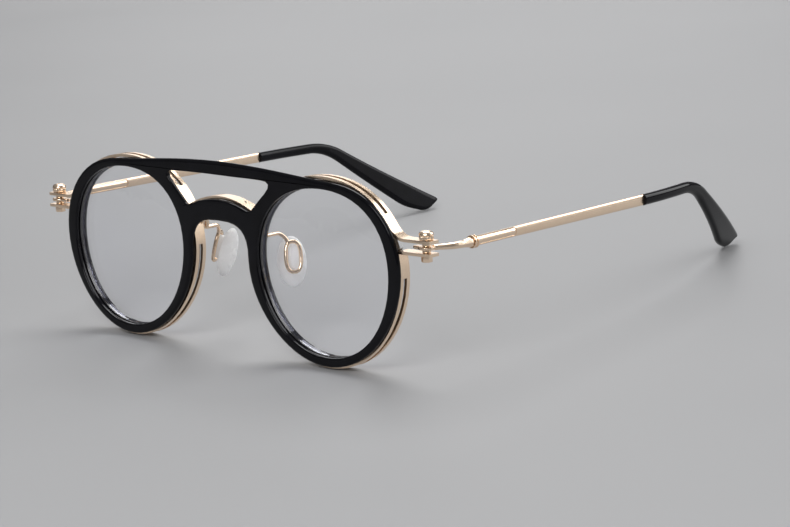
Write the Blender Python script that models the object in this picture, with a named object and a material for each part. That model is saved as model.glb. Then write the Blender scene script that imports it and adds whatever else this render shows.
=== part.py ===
"""Round eyeglasses: a black acetate front on slotted titanium rims, with wire temples.

The whole object is laid out square in one frame: X to the wearer's left, Y back towards the
ears, Z up, with the eye centres at Z = 0 and the front face at Y = 0. The last step lays it on
the floor as it rests when it is put down: on the two rims and the two temple tips.
"""
import math
from collections import namedtuple

import bmesh
import bpy
from mathutils import Matrix, Vector

MM = 0.001

# Eyes and bridge
LENS_RADIUS = 21.75 * MM
BRIDGE_WIDTH = 27.2 * MM
WRAP_DEG = 2.0
WRAP_FLAT = 6.0 * MM
WRAP_BLEND = 8.0 * MM

# Acetate front plate
PLATE_THICKNESS = 1.3 * MM
PLATE_RIM = 2.5 * MM
PLATE_EDGE = 0.35 * MM
PLATE_ROUNDING = 0.5 * MM
BROW_RISE = 3.5 * MM
BROW_BAR = 3.5 * MM
BROW_ARCH = 0.35 * MM
BROW_JOIN_DEG = 80.0
NOSE_ARCH = 9.8 * MM
NOSE_SQUARENESS = 3.0
LOWER_BRIDGE = 5.5 * MM
OPENING_RIM = 4.35 * MM
OPENING_SLOPE = 2.35 * MM
OPENING_CORNER = 1.8 * MM

# Fits between pieces
SEAT_GAP = 0.3 * MM
WELD_GAP = 0.12 * MM
HINGE_PLAY = 0.1 * MM
BORE_PLAY = 0.12 * MM

# Acetate inner ring and lens
RING_WALL = 1.87 * MM
RING_DEPTH = 2.3 * MM
GROOVE_DEPTH = 0.65 * MM
GROOVE_HALF = 0.6 * MM
LENS_THICKNESS = 1.2 * MM
LENS_SAG = 1.4 * MM
LUG_CHAMFER = 0.35 * MM
LUG_INSET = 0.1 * MM

# Titanium rim band
BAND_THICKNESS = 0.8 * MM
BAND_WIDTH = 3.45 * MM
SLOT_WIDTH = 1.2 * MM
UPPER_SLOT_DEG = (40.0, 138.0)
LOWER_SLOT_DEG = (175.0, 361.0)
UPPER_SLOT_BACK = 1.75 * MM
LOWER_SLOT_BACK = 1.72 * MM
UPPER_LEAVE_RISE = 4.15 * MM
LOWER_LEAVE_DROP = 1.19 * MM
UPPER_SWEEP = 2.9 * MM
LOWER_SWEEP = 1.0 * MM
CORNER_START = 0.4
BRIDGE_BAND_PROUD = 0.3 * MM
BRIDGE_BAND_DROP = 3.4 * MM
BRIDGE_BAND_SPAN = 12.2 * MM

# Hinge
HINGE_OUT = 7.4 * MM
HINGE_HEIGHT = 8.7 * MM
TAB_END = 2.35 * MM
TAB_CHAMFER = 0.7 * MM
EYE_PLATE = 0.75 * MM
EYE_PLATE_RADIUS = 2.0 * MM
HEEL_LENGTH = 4.0 * MM
HEEL_HALF = 1.2 * MM
WASHER_THICKNESS = 0.6 * MM
WASHER_RADIUS = 1.05 * MM
SCREW_RADIUS = 0.6 * MM
SCREW_HEAD_RADIUS = 1.75 * MM
SCREW_HEAD_HEIGHT = 2.25 * MM
SCREW_DOME_RADIUS = 1.35 * MM
SCREW_SLOT_WIDTH = 0.5 * MM
SCREW_SLOT_DEPTH = 0.5 * MM
NUT_ACROSS = 2.5 * MM
NUT_HEIGHT = 1.35 * MM

# Temple
TEMPLE_OUT = 4.1 * MM
WIRE_START_RADIUS = 0.68 * MM
WIRE_RADIUS = 1.0 * MM
WIRE_SWEEP_OUT = 1.6 * MM
WIRE_SWEEP_BACK = 2.6 * MM
WIRE_EASE = 4.2 * MM
FLARE_RADIUS = 1.3 * MM
FLARE_LENGTH = 2.7 * MM
COLLAR_BACK = 11.8 * MM
COLLAR_RADIUS = 1.65 * MM
COLLAR_RIDGE = 0.5 * MM
COLLAR_GROOVE = 0.35 * MM
COLLAR_LENGTH = 1.6 * MM
BOSS_RADIUS = 1.05 * MM
BOSS_LENGTH = 15.2 * MM
BAR_FRONT_HEIGHT = 2.5 * MM
BAR_BACK_HEIGHT = 2.9 * MM
BAR_THICKNESS = 1.0 * MM
BAR_LENGTH = 68.25 * MM
CORE_HEIGHT = 1.3 * MM
CORE_THICKNESS = 0.7 * MM
CORE_LENGTH = 38.0 * MM
CORE_CLEARANCE = 0.2 * MM
CORE_ROOT = 1.0 * MM

# Acetate temple tip
TIP_STRAIGHT = 20.0 * MM
TIP_BEND_RADIUS = 20.0 * MM
TIP_BEND_DEG = 34.6
TIP_LENGTH = 68.6 * MM
TIP_INWARD = 15.8 * MM
TIP_TWIST_DEG = 15.0
TIP_TWIST_START = 0.3
TIP_START_HALF = 1.5 * MM
TIP_END_HALF = 4.55 * MM
TIP_THICKNESS_HALF = 1.3 * MM
TIP_END_SLANT_DEG = 28.0
TIP_TOE_DEG = 73.0
TIP_HEEL = 6.1 * MM
TIP_EDGE = 0.4 * MM
TIP_MOUTH = 0.4 * MM
TIP_MOUTH_INSET = 0.25 * MM

# Nose pads and their arms
PAD_HEIGHT = 13.4 * MM
PAD_WIDTH = 9.0 * MM
PAD_THICKNESS = 2.5 * MM
PAD_OUT = 11.9 * MM
PAD_BACK = 14.7 * MM
PAD_DROP = 2.0 * MM
PAD_SPLAY_DEG = 14.0
PAD_LEAN_DEG = 12.5
PAD_TOE_DEG = 5.8
LOOP_HEIGHT = 7.9 * MM
LOOP_WIDTH = 4.1 * MM
LOOP_RISE = 1.05 * MM
LOOP_STANDOFF = 2.7 * MM
LOOP_FORWARD = 1.1 * MM
LOOP_SKEW = 0.2
LOOP_LANDING_DEG = 125.0
ARM_WIRE_RADIUS = 0.55 * MM
ARM_ROOT_HEIGHT = 8.7 * MM
ARM_HEIGHT = 6.0 * MM
ARM_BACK = 5.8 * MM
ARM_DRIFT = 0.1 * MM

RING_STEPS = 60

# Worked out from the sizes above
EYE_X = LENS_RADIUS + BRIDGE_WIDTH / 2
RING_FRONT = PLATE_THICKNESS + SEAT_GAP
RING_BACK = RING_FRONT + RING_DEPTH
BAND_FRONT = PLATE_THICKNESS + WELD_GAP
BAND_BACK = BAND_FRONT + BAND_WIDTH
GROOVE_Y = RING_FRONT + RING_DEPTH / 2
WRAP_SLOPE = math.tan(math.radians(WRAP_DEG))
EYE_STACK = EYE_PLATE + 2 * WASHER_THICKNESS + 4 * HINGE_PLAY
UPPER_TAB_Z = HINGE_HEIGHT + EYE_STACK / 2 + BAND_THICKNESS / 2
LOWER_TAB_Z = HINGE_HEIGHT - EYE_STACK / 2 - BAND_THICKNESS / 2

# An eye outline is a circle with a few gentle swellings: shift and lift move it, wide makes it
# wider than tall, twist, lean and corners lift its upper corners, and square flattens its sides.
Outline = namedtuple("Outline", "radius shift lift wide twist lean corners square")
HOLE = Outline(LENS_RADIUS, 0.0, 0.0, 0.15 * MM, -0.2 * MM, -0.1 * MM, 0.45 * MM, -0.2 * MM)
PLATE = Outline(LENS_RADIUS + PLATE_RIM, 0.25 * MM, -0.1 * MM, 0.75 * MM, 0.2 * MM, -0.25 * MM,
                0.6 * MM, 0.0)
BAND_RADIUS = LENS_RADIUS + RING_WALL + SEAT_GAP + BAND_THICKNESS / 2
BAND = Outline(BAND_RADIUS, -0.3 * MM, 0.2 * MM, 0.36 * MM, -0.2 * MM, -0.22 * MM, 0.54 * MM, 0.0)
UPPER_LEAVE_DEG = math.degrees(math.asin((UPPER_TAB_Z + UPPER_LEAVE_RISE) / BAND_RADIUS))
LOWER_LEAVE_DEG = math.degrees(math.asin((LOWER_TAB_Z - LOWER_LEAVE_DROP) / BAND_RADIUS))
LUG_TOP_DEG = UPPER_LEAVE_DEG - 1.0


def eye_radius(outline, angle):
    return (outline.radius + outline.shift * math.cos(angle) + outline.lift * math.sin(angle)
            + outline.wide * math.cos(2 * angle) + outline.twist * math.sin(2 * angle)
            + outline.lean * math.cos(3 * angle) + outline.corners * math.sin(3 * angle)
            + outline.square * math.cos(4 * angle))


def eye_point(outline, degrees, grow=0.0):
    """A point (x, z) of the right-hand eye's outline, the angle counted from the temple side upwards."""
    angle = math.radians(degrees)
    radius = eye_radius(outline, angle) + grow
    return EYE_X + radius * math.cos(angle), radius * math.sin(angle)


def eye_loop(outline, grow=0.0, steps=RING_STEPS):
    return [eye_point(outline, 360.0 * i / steps, grow) for i in range(steps)]


def arc_degrees(start, end, step=6.0):
    count = max(2, math.ceil(abs(end - start) / step))
    return [start + (end - start) * i / count for i in range(count + 1)]


def bezier(points, count):
    """Points along the Bezier curve with these control points, both ends included."""
    result = []
    for i in range(count + 1):
        level = [Vector(p) for p in points]
        while len(level) > 1:
            level = [a.lerp(b, i / count) for a, b in zip(level, level[1:])]
        result.append(tuple(level[0]))
    return result


def rounded(points, radii, steps=4):
    """The closed polygon with the corners that have a radius rounded."""
    result = []
    for i, (point, radius) in enumerate(zip(points, radii)):
        if not radius:
            result.append(point)
            continue
        here = Vector(point)
        before = Vector(points[i - 1]) - here
        after = Vector(points[(i + 1) % len(points)]) - here
        reach = radius / math.tan(before.angle(after) / 2)
        start, end = here + before.normalized() * reach, here + after.normalized() * reach
        result += bezier([start, here, end], steps)
    return result


def strip(path, thickness):
    """The closed outline of a strip of this thickness along a path of (x, z) points."""
    path = [Vector(p) for p in path]
    left, right = [], []
    for i, point in enumerate(path):
        before = (point - path[i - 1]).normalized() if i else None
        after = (path[i + 1] - point).normalized() if i + 1 < len(path) else None
        along = (before + after).normalized() if before and after else (before or after)
        normal = Vector((-along.y, along.x))
        spread = thickness / 2 / (normal.dot(Vector((-after.y, after.x))) if before and after else 1)
        left.append(tuple(point + normal * spread))
        right.append(tuple(point - normal * spread))
    return left + right[::-1]


def wrap(x):
    """How far back the wrapped front lies at this x."""
    out = abs(x) - WRAP_FLAT
    if out <= 0:
        return 0.0
    if out < WRAP_BLEND:
        return WRAP_SLOPE * out * out / (2 * WRAP_BLEND)
    return WRAP_SLOPE * (out - WRAP_BLEND / 2)


HINGE_X = EYE_X + eye_radius(BAND, 0.0) + HINGE_OUT
HINGE_Y = wrap(HINGE_X) + (BAND_FRONT + BAND_BACK) / 2
TEMPLE_X = HINGE_X + TEMPLE_OUT
TEMPLE_Z = HINGE_HEIGHT
COLLAR_Y = HINGE_Y + COLLAR_BACK
BAR_Y = COLLAR_Y + COLLAR_LENGTH
JUNCTION_Y = BAR_Y + BAR_LENGTH


# Scene

for item in list(bpy.data.objects):
    bpy.data.objects.remove(item, do_unlink=True)
glasses = bpy.data.collections.new("round_eyeglasses")
bpy.context.scene.collection.children.link(glasses)


def material(name, colour, roughness, metallic=0.0, transmission=0.0):
    made = bpy.data.materials.new(name)
    made.use_nodes = True
    shader = made.node_tree.nodes["Principled BSDF"]
    shader.inputs["Base Color"].default_value = (*colour, 1.0)
    shader.inputs["Roughness"].default_value = roughness
    shader.inputs["Metallic"].default_value = metallic
    shader.inputs["Transmission Weight"].default_value = transmission
    made.diffuse_color = (*colour, 1.0)
    return made


ACETATE = material("black_acetate", (0.01, 0.01, 0.012), 0.12)
TITANIUM = material("champagne_titanium", (0.83, 0.64, 0.5), 0.3, metallic=1.0)
LENS = material("clear_lens", (0.95, 0.96, 1.0), 0.02, transmission=1.0)
SILICONE = material("pad_silicone", (0.86, 0.87, 0.88), 0.35, transmission=0.5)


def empty(name, place, parent=None):
    made = bpy.data.objects.new(name, None)
    made.location = place
    made.parent = parent
    glasses.objects.link(made)
    return made


layout = empty("layout", (0, 0, 0))
hinges = {side: empty(f"hinge_axis_{side}", (sign * HINGE_X, HINGE_Y, HINGE_HEIGHT), layout)
          for side, sign in (("right", 1), ("left", -1))}


# Shape helpers

# For a plate across each axis: the axis, and the turn from the curve's own plane
AXES = {
    "X": ((1, 0, 0), Matrix.Rotation(math.pi / 2, 4, "Z") @ Matrix.Rotation(math.pi / 2, 4, "X")),
    "Y": ((0, 1, 0), Matrix.Rotation(math.pi / 2, 4, "X")),
    "Z": ((0, 0, 1), Matrix.Identity(4)),
}

def new_object(name, mesh):
    made = bpy.data.objects.new(name, mesh)
    glasses.objects.link(made)
    return made


def object_from_bmesh(name, bm):
    bmesh.ops.recalc_face_normals(bm, faces=bm.faces)
    mesh = bpy.data.meshes.new(name)
    bm.to_mesh(mesh)
    bm.free()
    return new_object(name, mesh)


def mesh_from_curve(name, curve):
    """The curve as a closed mesh object, with its loose caps welded."""
    made = bpy.data.objects.new(name, curve)
    glasses.objects.link(made)
    bpy.context.view_layer.update()
    graph = bpy.context.evaluated_depsgraph_get()
    mesh = bpy.data.meshes.new_from_object(made.evaluated_get(graph))
    bpy.data.objects.remove(made)
    bm = bmesh.new()
    bm.from_mesh(mesh)
    bmesh.ops.remove_doubles(bm, verts=bm.verts, dist=0.001 * MM)
    bpy.data.meshes.remove(mesh)
    return object_from_bmesh(name, bm)


def flat_solid(name, loops, low, high, edge=0.0, axis="Y"):
    """Closed outlines, holes included, as a plate between two places on its axis, edges rounded."""
    curve = bpy.data.curves.new(name, "CURVE")
    curve.dimensions = "2D"
    curve.fill_mode = "BOTH"
    curve.extrude = abs(high - low) / 2 - edge
    curve.bevel_depth = edge
    curve.bevel_resolution = 1
    curve.offset = -edge
    for loop in loops:
        spline = curve.splines.new("POLY")
        spline.points.add(len(loop) - 1)
        for point, place in zip(spline.points, loop):
            point.co = (place[0], place[1], 0.0, 1.0)
        spline.use_cyclic_u = True
    made = mesh_from_curve(name, curve)
    direction, turn = AXES[axis]
    made.data.transform(Matrix.Translation(Vector(direction) * (low + high) / 2) @ turn)
    return made


def prism(name, loop, low, high):
    """A straight solid on one closed outline of (x, z) points, with a single face at each end."""
    bm = bmesh.new()
    near, far = [[bm.verts.new((x, y, z)) for x, z in loop] for y in (low, high)]
    for i in range(len(loop)):
        bm.faces.new((near[i - 1], near[i], far[i], far[i - 1]))
    bm.faces.new(near)
    bm.faces.new(far)
    return object_from_bmesh(name, bm)


def tube(name, points, radii, closed=False, resolution=2):
    """A round wire along a path, thicker or thinner from point to point."""
    curve = bpy.data.curves.new(name, "CURVE")
    curve.dimensions = "3D"
    curve.bevel_depth = max(radii)
    curve.bevel_resolution = resolution
    curve.use_fill_caps = not closed
    spline = curve.splines.new("POLY")
    spline.points.add(len(points) - 1)
    for point, place, radius in zip(spline.points, points, radii):
        point.co = (*place, 1.0)
        point.radius = radius / max(radii)
    spline.use_cyclic_u = closed
    return mesh_from_curve(name, curve)


def turned(name, profile, steps=24):
    """A profile of (radius, height) points, top to bottom, turned about Z."""
    bm = bmesh.new()
    verts = [bm.verts.new((radius, 0, height)) for radius, height in profile]
    edges = [bm.edges.new(pair) for pair in zip(verts, verts[1:])]
    bmesh.ops.spin(bm, geom=verts + edges, cent=(0, 0, 0), axis=(0, 0, 1),
                   angle=2 * math.pi, steps=steps, use_duplicate=False)
    bmesh.ops.remove_doubles(bm, verts=bm.verts, dist=0.001 * MM)
    return object_from_bmesh(name, bm)


def loft(name, sections, closed=False):
    """Sections with the same number of points, joined in turn; an open loft gets end caps."""
    bm = bmesh.new()
    rows = [[bm.verts.new(point) for point in section] for section in sections]
    pairs = list(zip(rows, rows[1:])) + ([(rows[-1], rows[0])] if closed else [])
    for row, following in pairs:
        for i in range(len(row)):
            j = (i + 1) % len(row)
            bm.faces.new((row[i], row[j], following[j], following[i]))
    if not closed:
        bm.faces.new(rows[0])
        bm.faces.new(rows[-1])
    return object_from_bmesh(name, bm)


def combine(target, other, operation):
    """Joins or cuts the target with the other solid, which is used up."""
    modifier = target.modifiers.new(operation.lower(), "BOOLEAN")
    modifier.operation = operation
    modifier.object = other
    bpy.context.view_layer.update()
    graph = bpy.context.evaluated_depsgraph_get()
    mesh = bpy.data.meshes.new_from_object(target.evaluated_get(graph))
    target.modifiers.clear()
    target.data = mesh
    bpy.data.objects.remove(other)
    return target


def cut(target, cutter):
    return combine(target, cutter, "DIFFERENCE")


def join(target, piece):
    return combine(target, piece, "UNION")


def cylinder(name, radius, low, high, centre=(0.0, 0.0), segments=24):
    """An upright cylinder between two heights."""
    bm = bmesh.new()
    bmesh.ops.create_cone(bm, cap_ends=True, segments=segments, radius1=radius, radius2=radius,
                          depth=high - low)
    bmesh.ops.translate(bm, verts=bm.verts, vec=(*centre, (low + high) / 2))
    return object_from_bmesh(name, bm)


def box(name, low, high):
    bm = bmesh.new()
    size = Vector(high) - Vector(low)
    middle = (Vector(high) + Vector(low)) / 2
    bmesh.ops.create_cube(bm, size=1, matrix=Matrix.Translation(middle) @ Matrix.Diagonal((*size, 1)))
    return object_from_bmesh(name, bm)


def slice_for_wrap(thing):
    """Extra edges across the bridge, so that the front can bend there."""
    bm = bmesh.new()
    bm.from_mesh(thing.data)
    count = 3
    for i in range(count + 1):
        for sign in (1, -1):
            x = sign * (WRAP_FLAT + WRAP_BLEND * i / count)
            bmesh.ops.bisect_plane(bm, geom=bm.verts[:] + bm.edges[:] + bm.faces[:],
                                   plane_co=(x, 0, 0), plane_no=(1, 0, 0))
    bm.to_mesh(thing.data)
    bm.free()


def wrapped(thing):
    for vertex in thing.data.vertices:
        vertex.co.y += wrap(vertex.co.x)
    return thing


def finish(thing, look, parent=layout):
    """Material, smooth shading with crisp edges, and the piece's place under its parent."""
    thing.data.materials.clear()
    thing.data.materials.append(look)
    thing.data.shade_smooth()
    thing.data.set_sharp_from_angle(angle=math.radians(35))
    if parent is not layout:
        thing.data.transform(Matrix.Translation(-parent.location))
    thing.parent = parent
    return thing


def mirrored(thing, name):
    mesh = thing.data.copy()
    mesh.transform(Matrix.Scale(-1, 4, (1, 0, 0)))
    mesh.flip_normals()
    return new_object(name, mesh)


def pair(thing, look, moving=False):
    """Finishes a right-hand piece and its mirror image; a moving piece turns about its hinge."""
    base = thing.name
    other = mirrored(thing, f"{base}_left")
    thing.name = f"{base}_right"
    finish(thing, look, hinges["right"] if moving else layout)
    finish(other, look, hinges["left"] if moving else layout)


# Acetate front

def front_outline():
    """The front's outer edge: brow, temple side, bottom, nose side and nose arch, then mirrored."""
    brow_top = LENS_RADIUS + BROW_RISE
    end = Vector(eye_point(PLATE, BROW_JOIN_DEG))
    slope = (Vector(eye_point(PLATE, BROW_JOIN_DEG + 1)) - end).normalized()
    half = bezier([(0.0, brow_top), (0.4 * end.x, brow_top), end + slope * 0.3 * end.x, end], 8)
    half += [eye_point(PLATE, d) for d in arc_degrees(BROW_JOIN_DEG, -180.0)[1:]]
    nose_half = half[-1][0]
    for d in arc_degrees(0.0, 90.0, 12.0)[1:]:
        across = nose_half * math.cos(math.radians(d)) ** (2 / NOSE_SQUARENESS)
        up = NOSE_ARCH * math.sin(math.radians(d)) ** (2 / NOSE_SQUARENESS)
        half.append((max(across, 0.0), up))
    half[-1] = (0.0, NOSE_ARCH)
    return half + [(-x, z) for x, z in half[-2:0:-1]]


def opening_outline():
    """The opening between brow bar and lower bridge: arched top and bottom, sides along the rims."""
    top = LENS_RADIUS + BROW_RISE - BROW_BAR
    middle = NOSE_ARCH + LOWER_BRIDGE

    def side_x(z):
        return EYE_X + z - math.sqrt(2) * (LENS_RADIUS + OPENING_RIM)

    low = middle - OPENING_SLOPE
    top_x, low_x = side_x(top), side_x(low)
    upper = [(x * top_x, top - BROW_ARCH * x * x) for x in (-1.0, -0.5, 0.0, 0.5, 1.0)]
    lower = [(x * low_x, middle - OPENING_SLOPE * x * x) for x in (1.0, 0.6, 0.3, 0.0, -0.3, -0.6, -1.0)]
    radii = [OPENING_CORNER, 0, 0, 0, OPENING_CORNER, OPENING_CORNER, 0, 0, 0, 0, 0, OPENING_CORNER]
    return rounded(upper + lower, radii)


def round_outer_edge(plate, loop):
    """Draws the front edge of the outer outline further in, so that it is rounded more than the holes."""
    corners = [Vector(point) for point in loop]
    for vertex in plate.data.vertices:
        if vertex.co.y > 0.9 * PLATE_EDGE:
            continue
        here = Vector((vertex.co.x, vertex.co.z))
        nearest = min((nearest_on_edge(here, a, b) for a, b in zip(corners, corners[1:] + corners[:1])),
                      key=lambda place: (place - here).length)
        inward = here - nearest
        if 0 < inward.length < 1.5 * PLATE_EDGE:
            pushed = inward.normalized() * PLATE_ROUNDING * (1 - vertex.co.y / PLATE_EDGE) ** 2
            vertex.co.x += pushed.x
            vertex.co.z += pushed.y


def nearest_on_edge(point, start, end):
    along = end - start
    share = max(0.0, min(1.0, (point - start).dot(along) / along.length_squared))
    return start + along * share


def acetate_front():
    hole = eye_loop(HOLE)
    loops = [front_outline(), hole, [(-x, z) for x, z in hole], opening_outline()]
    made = flat_solid("acetate_front", loops, 0.0, PLATE_THICKNESS, PLATE_EDGE)
    round_outer_edge(made, loops[0])
    slice_for_wrap(made)
    finish(wrapped(made), ACETATE)


# Inner ring with its lens groove, and the lens

def ring_sections(profile):
    """Sections round the eye: each profile point is an outline, an offset from it and a depth."""
    sections = []
    for i in range(RING_STEPS):
        degrees = 360.0 * i / RING_STEPS
        section = []
        for outline, grow, depth in profile:
            x, z = eye_point(outline, degrees, grow)
            section.append((x, depth, z))
        sections.append(section)
    return sections


def lug_outline(outer):
    """The lug that fills the gap between the band's two ends, with one flat along the upper end."""
    top = Vector(eye_point(BAND, LUG_TOP_DEG, outer))
    along = (Vector(eye_point(BAND, LUG_TOP_DEG - 1, outer)) - top).normalized()
    low = LOWER_TAB_Z + BAND_THICKNESS / 2 + WELD_GAP
    foot = top + along * ((low + LUG_CHAMFER - top.y) / along.y)
    low_deg = LOWER_LEAVE_DEG + math.degrees(LUG_CHAMFER / BAND.radius)
    inner = [eye_point(BAND, d, 2 * outer) for d in arc_degrees(low_deg, LUG_TOP_DEG)]
    return [tuple(top), tuple(foot), (foot.x - LUG_CHAMFER, low)] + inner


def inner_ring():
    outer = -BAND_THICKNESS / 2 - SEAT_GAP
    profile = [(HOLE, 0.0, RING_FRONT), (BAND, outer, RING_FRONT), (BAND, outer, RING_BACK),
               (HOLE, 0.0, RING_BACK), (HOLE, 0.0, GROOVE_Y + GROOVE_HALF),
               (HOLE, GROOVE_DEPTH, GROOVE_Y), (HOLE, 0.0, GROOVE_Y - GROOVE_HALF)]
    ring = loft("inner_ring", ring_sections(profile), closed=True)
    join(ring, flat_solid("lug", [lug_outline(outer)], RING_FRONT + LUG_INSET, RING_BACK - LUG_INSET))
    pair(wrapped(ring), ACETATE)


def lens():
    """A thin curved lens whose bevelled edge sits in the groove of the inner ring."""
    tip = GROOVE_DEPTH - SEAT_GAP
    half = LENS_THICKNESS / 2
    sections = []
    for share, side in ((0.3, -1), (0.7, -1), (1.0, -1), (None, 0), (1.0, 1), (0.7, 1), (0.3, 1)):
        ring = []
        for i in range(RING_STEPS):
            edge = Vector(eye_point(HOLE, 360.0 * i / RING_STEPS, tip if share is None else -SEAT_GAP))
            centre = Vector((EYE_X, 0.0))
            x, z = centre.lerp(edge, share or 1.0)
            bulge = 0.0 if share is None else LENS_SAG * (1 - share * share)
            ring.append((x, GROOVE_Y + side * half - bulge, z))
        sections.append(ring)
    pair(wrapped(loft("lens", sections)), LENS)


# Titanium rim bands and bridge

def band_path():
    """The band's middle line: lower tab, round the lens, upper tab."""
    tab_x = HINGE_X + TAB_END

    def corner(leave_deg, tab_z, sweep, sense):
        start = Vector(eye_point(BAND, leave_deg))
        along = (Vector(eye_point(BAND, leave_deg + sense)) - start).normalized()
        meet = start + along * ((tab_z - start.y) / along.y)
        return [tuple(start)] + bezier([start.lerp(meet, CORNER_START), meet, (meet.x + sweep, tab_z)], 5)

    lower = corner(LOWER_LEAVE_DEG, LOWER_TAB_Z, LOWER_SWEEP, 1)
    upper = corner(UPPER_LEAVE_DEG, UPPER_TAB_Z, UPPER_SWEEP, -1)
    round_lens = [eye_point(BAND, d) for d in arc_degrees(UPPER_LEAVE_DEG, 360.0 + LOWER_LEAVE_DEG)]
    return [(tab_x, UPPER_TAB_Z)] + upper[::-1] + round_lens[1:-1] + lower + [(tab_x, LOWER_TAB_Z)]


def chamfer_tab_corners(band):
    """Takes the corners off both hinge tabs, seen from above."""
    low, high = LOWER_TAB_Z - BAND_THICKNESS, UPPER_TAB_Z + BAND_THICKNESS
    end = HINGE_X + TAB_END
    for y, sign in ((BAND_FRONT, -1), (BAND_BACK, 1)):
        triangle = [(end - TAB_CHAMFER, y + sign * TAB_CHAMFER), (end + TAB_CHAMFER, y - sign * TAB_CHAMFER),
                    (end + TAB_CHAMFER, y + sign * TAB_CHAMFER)]
        cut(band, flat_solid("corner", [triangle], low, high, axis="Z"))


def rim_band():
    band = prism("rim_band", strip(band_path(), BAND_THICKNESS), BAND_FRONT, BAND_BACK)
    for (start, end), back in ((UPPER_SLOT_DEG, UPPER_SLOT_BACK), (LOWER_SLOT_DEG, LOWER_SLOT_BACK)):
        angles = arc_degrees(start, end)
        sector = [eye_point(BAND, d, BAND_THICKNESS) for d in angles]
        sector += [eye_point(BAND, d, -BAND_THICKNESS) for d in reversed(angles)]
        middle = BAND_FRONT + back
        cut(band, prism("slot", sector, middle - SLOT_WIDTH / 2, middle + SLOT_WIDTH / 2))
    centre = (HINGE_X, (BAND_FRONT + BAND_BACK) / 2)
    cut(band, cylinder("bore", SCREW_RADIUS + BORE_PLAY, LOWER_TAB_Z - BAND_THICKNESS,
                       UPPER_TAB_Z + BAND_THICKNESS, centre))
    chamfer_tab_corners(band)
    pair(wrapped(band), TITANIUM)


def bridge_band():
    """The arched strip that joins the two rims behind the lower bridge, trimmed to their curve."""
    crest = NOSE_ARCH + LOWER_BRIDGE
    reach = 1.15 * BRIDGE_BAND_SPAN
    path = [(x * reach, crest + BRIDGE_BAND_PROUD - BRIDGE_BAND_DROP * (x * reach / BRIDGE_BAND_SPAN) ** 2)
            for x in (i / 8 for i in range(-8, 9))]
    made = flat_solid("bridge_band", [strip(path, BAND_THICKNESS)], BAND_FRONT, BAND_BACK)
    rim = eye_loop(BAND, BAND_THICKNESS / 2 + WELD_GAP)
    for loop in (rim, [(-x, z) for x, z in rim]):
        cut(made, flat_solid("rim", [loop], BAND_FRONT - SEAT_GAP, BAND_BACK + SEAT_GAP))
    finish(wrapped(made), TITANIUM)


# Hinge hardware

def move_to_hinge(thing):
    thing.data.transform(Matrix.Translation((HINGE_X, HINGE_Y, 0)))
    return thing


def hinge_screw():
    seat = UPPER_TAB_Z + BAND_THICKNESS / 2 + HINGE_PLAY
    end = LOWER_TAB_Z - BAND_THICKNESS / 2 - HINGE_PLAY - NUT_HEIGHT
    wall = seat + SCREW_HEAD_HEIGHT * 0.5
    ledge = wall + SCREW_HEAD_HEIGHT * 0.1
    dome = [(SCREW_DOME_RADIUS * math.sin(math.radians(d)),
             ledge + (seat + SCREW_HEAD_HEIGHT - ledge) * math.cos(math.radians(d)))
            for d in (0, 20, 40, 60, 78, 90)]
    profile = dome + [(SCREW_HEAD_RADIUS, wall), (SCREW_HEAD_RADIUS, seat), (SCREW_RADIUS, seat),
                      (SCREW_RADIUS, end), (0.0, end)]
    screw = turned("hinge_screw", profile)
    top = seat + SCREW_HEAD_HEIGHT
    half = SCREW_SLOT_WIDTH / 2
    cut(screw, box("driver_slot", (-2 * SCREW_HEAD_RADIUS, -half, top - SCREW_SLOT_DEPTH),
                   (2 * SCREW_HEAD_RADIUS, half, top + SCREW_SLOT_DEPTH)))
    pair(move_to_hinge(screw), TITANIUM)


def hinge_nut():
    top = LOWER_TAB_Z - BAND_THICKNESS / 2 - HINGE_PLAY
    bottom = top - NUT_HEIGHT
    nut = cylinder("hinge_nut", NUT_ACROSS / math.sqrt(3), bottom, top, segments=6)
    cut(nut, cylinder("thread", SCREW_RADIUS + BORE_PLAY, bottom - NUT_HEIGHT, top + NUT_HEIGHT))
    pair(move_to_hinge(nut), TITANIUM)


def washers():
    bore = SCREW_RADIUS + BORE_PLAY
    reach = EYE_PLATE / 2 + HINGE_PLAY
    for name, sense in (("upper_washer", 1), ("lower_washer", -1)):
        near, far = HINGE_HEIGHT + sense * reach, HINGE_HEIGHT + sense * (reach + WASHER_THICKNESS)
        low, high = min(near, far), max(near, far)
        washer = cylinder(name, WASHER_RADIUS, low, high)
        cut(washer, cylinder("hole", bore, low - WASHER_THICKNESS, high + WASHER_THICKNESS))
        pair(move_to_hinge(washer), TITANIUM)


# Temple

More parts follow.
